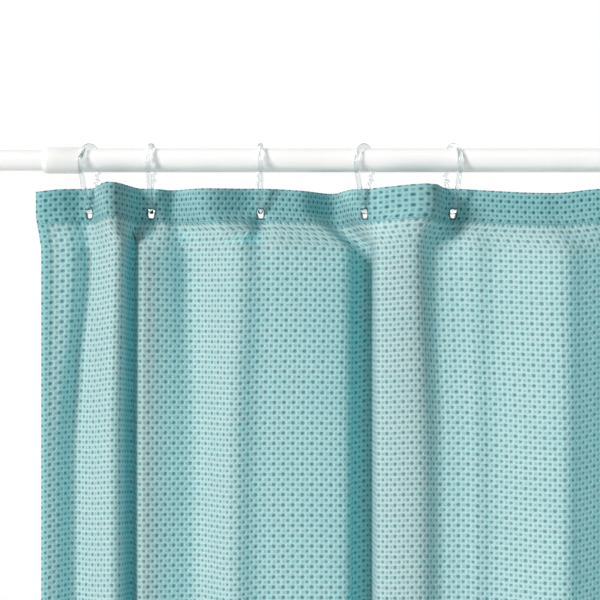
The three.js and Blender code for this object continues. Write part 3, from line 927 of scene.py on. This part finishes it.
FOLDS = (
    (
        Ripple((0.00, 0.10, -0.03), (0, -14, -14)),
        Ripple((0.39, 0.57, 0.52), (-40, -43, -42), -4.0),
        Ripple((0.86, 0.70, 0.67), (3, -3, -1)),
    ),
    (
        Ripple((0.01, -0.07, -0.08), (0, -28, -27)),
        Ripple((0.06, 0.19, 0.22), (-4, -17, -17), 0.5),
        Ripple((0.16, 0.33, 0.40), (8, -6, -11), 1.0),
        Ripple((0.51, 0.84, 0.77), (-22, -40, -38), 1.0),
        Ripple((0.97, 1.01, 0.98), (0, -33, -29)),
    ),
    (
        Ripple((0.01, 0.17, 0.13), (0, -32, -28)),
        Ripple((0.36, 0.84, 0.84), (2, -20, -20), 1.5),
        Ripple((0.70, 0.89, 0.885), (30, 15, 14), 3.0),
        Ripple((0.90, 1.06, 1.06), (7, 16, 15)),
    ),
    (
        Ripple((0.00, 0.13, 0.13), (0, -30, -30)),
        Ripple((0.72, 0.53, 0.60), (-46, -40, -40), -2.0),
        Ripple((0.92, 0.77, 0.85), (-3, -21, -26)),
    ),
    (
        Ripple((0.05, 0.02, 0.06), (4, -22, -26)),
        Ripple((0.14, 0.145, 0.151), (1, -27, -29), 1.0),
        Ripple((0.19, 0.189, 0.195), (0, -24, -26), 1.5),
        Ripple((0.58, 0.685, 0.68), (-2, -45, -45), 4.0),
        Ripple((0.63, 0.715, 0.71), (0, -41, -41), 4.0),
        Ripple((0.96, 1.04, 1.00), (0, -8, -8)),
    ),
)
LEFT_MARGIN = (
    Ripple((-48.5, -42, -42), (-12, -21, -20), 3.6),
    Ripple((-26, -12, -31), (-9, -22, -22), 1.0),
    Ripple((-6.5, -1.7, -15), (4, -7, -6)),
)
RIGHT_MARGIN = (
    Ripple((0, 2, 1), (0, -4, -4)),
    Ripple((47, 47, 47), (-10, -16, -14), 2.5),
)


@dataclass
class Panel:
    """The curtain's cloth: one sheet, hemmed all round, folded between the hooks and pierced at each."""

    hooks: Hooks
    drop: float = 1800.0 * MM
    flat_width: float = 1800.0 * MM
    pitch: float = 155.0 * MM
    cloth: float = 0.8 * MM
    hem: float = 2.0 * MM
    top_hem: float = 32.5 * MM
    bottom_hem: float = 30.0 * MM
    side_hem: float = 8.0 * MM
    hole_top: float = 18.5 * MM
    hole_height: float = 9.5 * MM
    hole_width: float = 5.6 * MM
    stitch: float = 1.4 * MM
    coarse_step: float = 6.7 * MM
    row_step: float = 14.0 * MM
    knee: float = 56.0 * MM
    flat_reach: float = 7.5 * MM
    cut_inset: float = 0.5 * MM
    cut_under_stitch: float = 0.9
    low: float = 250.0 * MM
    rim: float = 1.5 * MM
    hem_step: float = 0.9 * MM
    under_hem: float = 6.0 * MM
    ring_room: float = 1.2 * MM
    least_apart: float = 0.8 * MM
    most_drift_mm: float = 7.0
    swells: tuple = (0.8, 1.1)
    droop_lost: float = 0.35
    samples: int = 3000
    seed: int = 7

    def hook_places(self) -> np.ndarray:
        """Where the hooks hang along the rod."""
        return np.array([self.hooks.centre_x(n) for n in range(len(HOOK_NUMBERS))])

    def later_folds(self, gap: float, number: int) -> tuple[Ripple, ...]:
        """The folds after a hook further along, where the cloth has half of the root of p^2 - g^2 to go out.

        Args:
            gap: The way to the next hook.
            number: The hook's number, which seeds the fold's own shape.

        Returns:
            The fold's crests and valleys.
        """
        chance = np.random.default_rng(self.seed + number)
        out = math.sqrt(self.pitch**2 - gap**2) / 2 / MM
        crest = chance.uniform(0.35, 0.7)
        lower, lowest = crest + chance.uniform(-0.12, 0.12), crest + chance.uniform(-0.15, 0.15)
        back = chance.uniform(8, 16)
        return (
            Ripple((0.03, 0.08, 0.05), (0, back * 0.4, back * 0.3)),
            Ripple((crest, lower, lowest), (-out * 0.8, back - out, back - out * 0.95), 1.0),
            Ripple((0.93, 0.95 + chance.uniform(-0.03, 0.03), 0.95), (3, back, back * 0.9)),
        )

    def fold_points(self) -> tuple[np.ndarray, np.ndarray, np.ndarray]:
        """The crests and valleys across the whole cloth.

        Returns:
            Their places along the rod and their depths at the three levels, and their droops.
        """
        hooks = self.hook_places()
        ripples = [(hooks[0], MM, ripple) for ripple in LEFT_MARGIN]
        for n, gap in enumerate(np.diff(hooks)):
            later = FOLDS[n] if n < len(FOLDS) else self.later_folds(gap, n)
            ripples += [(hooks[n], gap, ripple) for ripple in later]
        ripples += [(hooks[-1], MM, ripple) for ripple in RIGHT_MARGIN]
        places = [[start + place * unit for place in ripple.place] for start, unit, ripple in ripples]
        depths = [ripple.depth for _, _, ripple in ripples]
        droops = [ripple.droop for _, _, ripple in ripples]
        return np.array(places), np.array(depths) * MM, np.array(droops) * MM

    def rows(self) -> np.ndarray:
        """How far each row of vertices is below the top edge, close together in the hems and at the holes."""
        hole, hem = self.hole_top, self.drop - self.bottom_hem
        top = [0, self.rim, 6 * MM, 12 * MM, hole - 1.6 * MM]
        top += [hole + self.cut_inset, hole + 3.2 * MM, hole + 6.4 * MM]
        top += [hole + self.hole_height - self.cut_inset]
        top += [self.top_hem - self.rim, self.top_hem, self.top_hem + self.hem_step]
        start, stop = self.top_hem + self.under_hem, hem - self.hem_step
        middle = np.linspace(start, stop, int((stop - start) / self.row_step))
        bottom = [hem, self.drop - self.bottom_hem / 2, self.drop - self.rim, self.drop]
        return np.concatenate([top, middle, bottom])

    def level_mix(self, down: np.ndarray, values: np.ndarray) -> np.ndarray:
        """A value that goes from its first level to its second under the hem, and on to its third.

        Args:
            down: How far each row is below the top edge.
            values: Three values for each fold point.

        Returns:
            One row of values for each row of vertices.
        """
        first = eased_step(down, self.hole_top, self.knee)[:, None]
        second = eased_step(down, self.knee, self.low)[:, None]
        upper = values[None, :, 0] * (1 - first) + values[None, :, 1] * first
        return upper * (1 - second) + values[None, :, 2] * second

    def shape(self) -> tuple[np.ndarray, np.ndarray, np.ndarray]:
        """The cloth's middle surface.

        In each row the depth is a smooth line through that row's crests and valleys. The length along that
        line sets where each column is, so that the weave keeps its scale. Lower down, the crests drift and
        swell.

        Returns:
            Points by row and column, the length along the cloth and the way down from its top edge.
        """
        places, depths, droops = self.fold_points()
        down = self.rows()
        lower = eased_step(down, self.low, self.drop)[:, None]
        chance = np.random.default_rng(self.seed)
        drift = chance.uniform(-self.most_drift_mm, self.most_drift_mm, len(places)) * MM
        swell = chance.uniform(*self.swells, len(places))
        drift[[0, -1]] = 0
        known_x = self.level_mix(down, places) + lower * drift
        apart = np.arange(len(places)) * self.least_apart
        known_x = np.maximum.accumulate(known_x - apart, axis=1) + apart
        known_y = self.level_mix(down, depths) * (1 + lower * (swell - 1))
        lost = self.droop_lost * eased_step(down, 0, self.drop)[:, None]
        known_droop = np.broadcast_to(droops, known_x.shape) * (1 - lost)
        share = np.linspace(0, 1, self.samples)[None, :]
        x = known_x[:, :1] + share * (known_x[:, -1:] - known_x[:, :1])
        y = self.squared_to_hooks(x, through_points(known_x, known_y, x), down)
        droop = through_points(known_x, known_droop, x)
        run = np.hypot(np.diff(x, axis=1), np.diff(y, axis=1)).cumsum(axis=1)
        run = np.concatenate([np.zeros((len(down), 1)), run], axis=1)
        anchors = self.anchor_runs(known_x, x, run)
        columns = self.columns(anchors.mean(axis=0))
        beside = self.hole_width / 2 + self.stitch + self.ring_room
        knots = np.sort(np.hstack([anchors, anchors[:, 1:-1] - beside, anchors[:, 1:-1] + beside]), axis=1)
        at = np.stack([np.interp(columns, knots.mean(axis=0), row) for row in knots])
        pick = lambda values: np.stack([np.interp(at[r], run[r], values[r]) for r in range(len(down))])
        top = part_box("panel_strip_01")[1].z
        z = top - down[:, None] - pick(droop)
        points = np.stack([pick(x), pick(y), z], axis=-1)
        across = np.broadcast_to(columns, z.shape)
        return points, across, np.broadcast_to(down[:, None], z.shape)

    def squared_to_hooks(self, x: np.ndarray, y: np.ndarray, down: np.ndarray) -> np.ndarray:
        """The depth, brought into each hook's own plane around its buttonhole.

        The weight is exp(-(dx / flat_reach)^4), with dx the way to the hook, and it fades out below the hem.
        The plane there is -dx tan(turn).

        Args:
            x: Places along the rod, by row.
            y: The depth there.
            down: How far each row is below the top edge.

        Returns:
            The new depth.
        """
        fade = (1 - eased_step(down, self.top_hem, self.knee))[:, None]
        for hook, turn in zip(self.hook_places(), self.hooks.turns_deg):
            weight = np.exp(-(((x - hook) / self.flat_reach) ** 4)) * fade
            y = y * (1 - weight) - (x - hook) * math.tan(math.radians(turn)) * weight
        return y

    def anchor_runs(self, known_x: np.ndarray, x: np.ndarray, run: np.ndarray) -> np.ndarray:
        """The length along the cloth to its left edge, each hook and its right edge, for every row.

        Args:
            known_x: Places of the crests and valleys.
            x: Places along the rod.
            run: The length along the cloth there.

        Returns:
            One row of lengths for each row of vertices.
        """
        hooks = self.hook_places()
        top = known_x[0]
        near = [int(np.argmin(abs(top - hook))) for hook in hooks]
        drifted = hooks[None, :] + known_x[:, near] - top[near]
        marks = np.concatenate([x[:, :1], drifted, x[:, -1:]], axis=1)
        return np.stack([np.interp(marks[r], x[r], run[r]) for r in range(len(x))])

    def columns(self, anchors: np.ndarray) -> np.ndarray:
        """Lengths along the cloth of the columns of vertices, close together at each hole.

        Args:
            anchors: Lengths to the left edge, each hook and the right edge.

        Returns:
            The columns' lengths, rising from 0.
        """
        half, ring = self.cut_width() / 2, self.hole_width / 2 + self.stitch
        near = np.array([-ring - self.ring_room, -half, 0, half, ring + self.ring_room])
        found = [np.array([0, self.side_hem, self.side_hem + self.hem_step])]
        ends = np.concatenate([anchors[1:-1] + near[0], [anchors[-1] - self.side_hem - self.hem_step]])
        start = self.side_hem + self.hem_step
        for n, end in enumerate(ends):
            found.append(np.linspace(start, end, max(3, int((end - start) / self.coarse_step)))[1:])
            if n < len(anchors) - 2:
                found.append(anchors[n + 1] + near[1:])
                start = anchors[n + 1] + near[-1]
        found.append(np.array([anchors[-1] - self.side_hem, anchors[-1]]))
        return np.concatenate(found)

    def build(self) -> bpy.types.Object:
        """Makes the cloth, cuts its buttonholes and thickens it, doubled in the hems.

        Returns:
            The finished panel.
        """
        points, across, down = self.shape()
        rows, columns = across.shape
        faces = grid_faces(rows, columns)
        corner_a, corner_b = faces.min(axis=1), faces.max(axis=1)
        middle_across = (across.reshape(-1)[corner_a] + across.reshape(-1)[corner_b]) / 2
        middle_down = (down.reshape(-1)[corner_a] + down.reshape(-1)[corner_b]) / 2
        centres = self.hole_centres(points, across)
        in_width = (abs(middle_across[:, None] - centres) < self.cut_width() / 2).any(axis=1)
        in_height = (middle_down > self.hole_top) & (middle_down < self.hole_top + self.hole_height)
        kept = faces[~(in_width & in_height)][:, ::-1]
        panel = new_piece("waffle_panel", points, kept.tolist())
        flat_across, flat_down = across.reshape(-1), down.reshape(-1)
        corners = np.zeros(len(panel.data.loops), np.int32)
        panel.data.loops.foreach_get("vertex_index", corners)
        layer = panel.data.uv_layers.new(name="cloth")
        layer.data.foreach_set("uv", np.stack([flat_across[corners], flat_down[corners]], axis=-1).ravel())
        width = flat_across.max()
        doubled = (flat_down <= self.top_hem + NEAR) | (flat_down >= self.drop - self.bottom_hem - NEAR)
        doubled |= (flat_across <= self.side_hem + NEAR) | (flat_across >= width - self.side_hem - NEAR)
        self.thicken(panel, doubled)
        cloth = WaffleCloth(
            width=float(width), length=self.drop, top_hem=self.top_hem,
            bottom_hem=self.bottom_hem, side_hem=self.side_hem,
        )
        panel.data.materials.append(cloth.material())
        log.info("waffle_panel: %d by %d, %.3f m of cloth", rows, columns, width)
        return panel

    def cut_width(self) -> float:
        """How wide the cloth is cut: the hole, and on under part of the stitching."""
        return self.hole_width + self.cut_under_stitch * self.stitch

    def hole_centres(self, points: np.ndarray, across: np.ndarray) -> np.ndarray:
        """The length along the cloth at which each hook goes through it."""
        level = int(np.argmin(abs(self.rows() - self.hole_top)))
        return np.interp(self.hook_places(), points[level, :, 0], across[level])

    def thicken(self, panel: bpy.types.Object, doubled: np.ndarray) -> None:
        """Gives the sheet its thickness to both sides, twice over in the hems.

        Args:
            panel: The sheet.
            doubled: Whether each vertex is in a hem.
        """
        group = panel.vertex_groups.new(name="doubled")
        group.add(np.flatnonzero(doubled).tolist(), 1.0, "REPLACE")
        solid = panel.modifiers.new("thickness", "SOLIDIFY")
        solid.thickness = self.hem
        solid.offset = 0
        solid.vertex_group = "doubled"
        solid.thickness_vertex_group = self.cloth / self.hem
        solid.use_even_offset = False


@dataclass
class Buttonholes:
    """Satin stitching round each buttonhole: a slot-shaped ring of close ribs."""

    panel: Panel
    ribs: int = 44
    rib_steps: int = 6
    rib_swell: float = 0.2
    section_sides: int = 14
    proud: float = 0.5 * MM
    pieces: list = field(default_factory=list)

    def ring(self) -> tuple[np.ndarray, list]:
        """The ring in its own plane, X across and Z up, round the slot's upper end at the origin.

        The slot is two half circles joined by straights. The ring's section is an ellipse as wide as the
        stitch, and its size ripples as a cosine with one rib for each stitch.

        Returns:
            The vertices and the faces.
        """
        panel = self.panel
        radius = panel.hole_width / 2 + panel.stitch / 2
        straight = panel.hole_height - panel.hole_width
        total = 2 * straight + 2 * np.pi * radius
        run = np.linspace(0, total, self.ribs * self.rib_steps, endpoint=False)
        arc = np.pi * radius
        angle = np.where(run < arc, run / radius, np.pi)
        lower = (run >= arc + straight) & (run < 2 * arc + straight)
        angle = np.where(lower, np.pi + (run - arc - straight) / radius, angle)
        angle = np.where(run >= 2 * arc + straight, 2 * np.pi, angle)
        x = radius * np.cos(angle)
        slide = np.where(run < arc, 0, np.where(run < arc + straight, run - arc, straight))
        slide = np.where(run >= 2 * arc + straight, straight - (run - 2 * arc - straight), slide)
        z = radius * np.sin(angle) - slide
        out = np.stack([np.cos(angle), np.zeros_like(angle), np.sin(angle)], axis=-1)
        swell = 1 + self.rib_swell * np.cos(2 * np.pi * self.ribs * run / total)
        section = np.linspace(0, 2 * np.pi, self.section_sides, endpoint=False)
        wide, deep = panel.stitch / 2 * np.cos(section), (panel.hem / 2 + self.proud) * np.sin(section)
        centre = np.stack([x, np.zeros_like(x), z], axis=-1)
        points = centre[:, None] + out[:, None] * (wide[None, :] * swell[:, None])[:, :, None]
        points[:, :, 1] += deep[None, :] * swell[:, None]
        return points.reshape(-1, 3), grid_faces(len(run), len(section), True, True).tolist()

    def build(self) -> None:
        """Places a ring at each hook, square to it."""
        finish = StitchThread().material()
        shape, faces = self.ring()
        hooks = self.panel.hooks
        centre_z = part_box("panel_strip_01")[1].z - self.panel.hole_top - self.panel.hole_width / 2
        for number, label in enumerate(HOOK_NUMBERS):
            turn = math.radians(hooks.turns_deg[number])
            x, y, z = shape.T
            points = np.stack(
                [
                    hooks.centre_x(number) + x * math.cos(turn) + y * math.sin(turn),
                    -x * math.sin(turn) + y * math.cos(turn),
                    z + centre_z,
                ],
                axis=-1,
            )
            piece = new_piece(f"stitched_buttonhole_{label}", points, faces)
            mend_normals(piece)
            piece.data.materials.append(finish)
            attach(piece, body_of_hook(number))
            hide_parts(f"buttonhole_stitching_{label}")
            self.pieces.append(piece)


# ---- The studio


@dataclass
class Studio:
    """A pale floor, soft lights and a camera square to the curtain's upper left part."""

    view_width: float = 0.559
    distance: float = 1.6
    centre_x: float = -1.0643
    centre_z: float = -0.130
    sensor: float = 36.0
    floor_gap: float = 0.12
    floor_tint: tuple = colour(0.76, 0.76, 0.75)
    floor_cloud: tuple = colour(0.71, 0.71, 0.70)
    surround: float = 0.22
    suns: tuple = (
        ("key", (-0.95, -0.90, 0.50), 3.25, 20),
        ("back", (-0.75, 0.65, 0.45), 3.7, 30),
        ("overhead", (0.1, -0.25, 1.0), 0.5, 60),
    )

    def camera(self) -> None:
        """A long lens looking along +Y, whose view at the rod is as wide as view_width."""
        data = bpy.data.cameras.new("camera")
        data.sensor_width = self.sensor
        data.lens = self.sensor * self.distance / self.view_width
        camera = bpy.data.objects.new("camera", data)
        camera.location = (self.centre_x, -self.distance, self.centre_z)
        camera.rotation_euler = (math.pi / 2, 0, 0)
        bpy.context.scene.collection.objects.link(camera)
        bpy.context.scene.camera = camera

    def floor(self) -> None:
        """A wide flat pale floor below the curtain, x and y on a grid."""
        z = CAD_BOX[0].z - self.floor_gap
        x, y = np.meshgrid(np.linspace(-6, 5, 12), np.linspace(-5, 5, 11))
        points = np.stack([x, y, np.full_like(x, z)], axis=-1)
        floor = new_piece("floor", points, grid_faces(11, 12).tolist())
        tree = Tree("floor")
        cloudy = tree.noise(tree.place(), 3.0, 3.0)
        base = tree.mix(cloudy * 0.3, self.floor_tint, self.floor_cloud)
        floor.data.materials.append(tree.finish(tree.principled(Base_Color=base, Roughness=0.7)))

    def light(self) -> None:
        """A key light from the front left, one behind that shines through the cloth, and a pale surround.

        The surround is white to the camera and through clear plastic. To everything else it is dim, and so
        it is to light that spreads through the cloth, which counts as a diffuse ray too.
        """
        for name, source, strength, spread_deg in self.suns:
            self.sun(name, source, strength, spread_deg)
        world = bpy.data.worlds.new("surround")
        world.use_nodes = True
        nodes, links = world.node_tree.nodes, world.node_tree.links
        nodes.clear()
        out = nodes.new("ShaderNodeOutputWorld")
        seen, unseen = nodes.new("ShaderNodeBackground"), nodes.new("ShaderNodeBackground")
        mix = nodes.new("ShaderNodeMixShader")
        path = nodes.new("ShaderNodeLightPath")
        clear, either = nodes.new("ShaderNodeMath"), nodes.new("ShaderNodeMath")
        clear.operation, either.operation = "SUBTRACT", "MAXIMUM"
        links.new(path.outputs["Is Transmission Ray"], clear.inputs[0])
        links.new(path.outputs["Is Diffuse Ray"], clear.inputs[1])
        links.new(path.outputs["Is Camera Ray"], either.inputs[0])
        links.new(clear.outputs[0], either.inputs[1])
        seen.inputs["Color"].default_value = colour(1, 1, 1)
        seen.inputs["Strength"].default_value = 1.0
        unseen.inputs["Color"].default_value = colour(1, 1, 1)
        unseen.inputs["Strength"].default_value = self.surround
        links.new(either.outputs[0], mix.inputs[0])
        links.new(unseen.outputs[0], mix.inputs[1])
        links.new(seen.outputs[0], mix.inputs[2])
        links.new(mix.outputs[0], out.inputs["Surface"])
        bpy.context.scene.world = world
        bpy.context.scene.view_settings.view_transform = "Standard"

    def sun(self, name: str, source: tuple, strength: float, spread_deg: float) -> None:
        """A distant soft light.

        Args:
            name: Its name.
            source: The direction that the light comes from.
            strength: Its strength.
            spread_deg: How wide its source looks.
        """
        data = bpy.data.lights.new(name, "SUN")
        data.energy, data.angle = strength, math.radians(spread_deg)
        lamp = bpy.data.objects.new(name, data)
        lamp.rotation_euler = Vector(source).to_track_quat("Z", "Y").to_euler()
        bpy.context.scene.collection.objects.link(lamp)


def main() -> None:
    """Builds the studio, the rod, the hooks and the curtain."""
    logging.basicConfig(level=logging.INFO)
    studio = Studio()
    studio.camera()
    studio.floor()
    studio.light()
    Rod().build()
    hooks = Hooks()
    hooks.build()
    panel = Panel(hooks)
    buttonholes = Buttonholes(panel)
    buttonholes.build()
    cloth = panel.build()
    last_hook = hooks.centre_x(len(HOOK_NUMBERS) - 1)
    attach(cloth, "curtain_end")
    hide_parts(*[f"panel_strip_{label}" for label in HOOK_NUMBERS])
    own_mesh(cloth)
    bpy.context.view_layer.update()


if __name__ == "__main__":
    main()
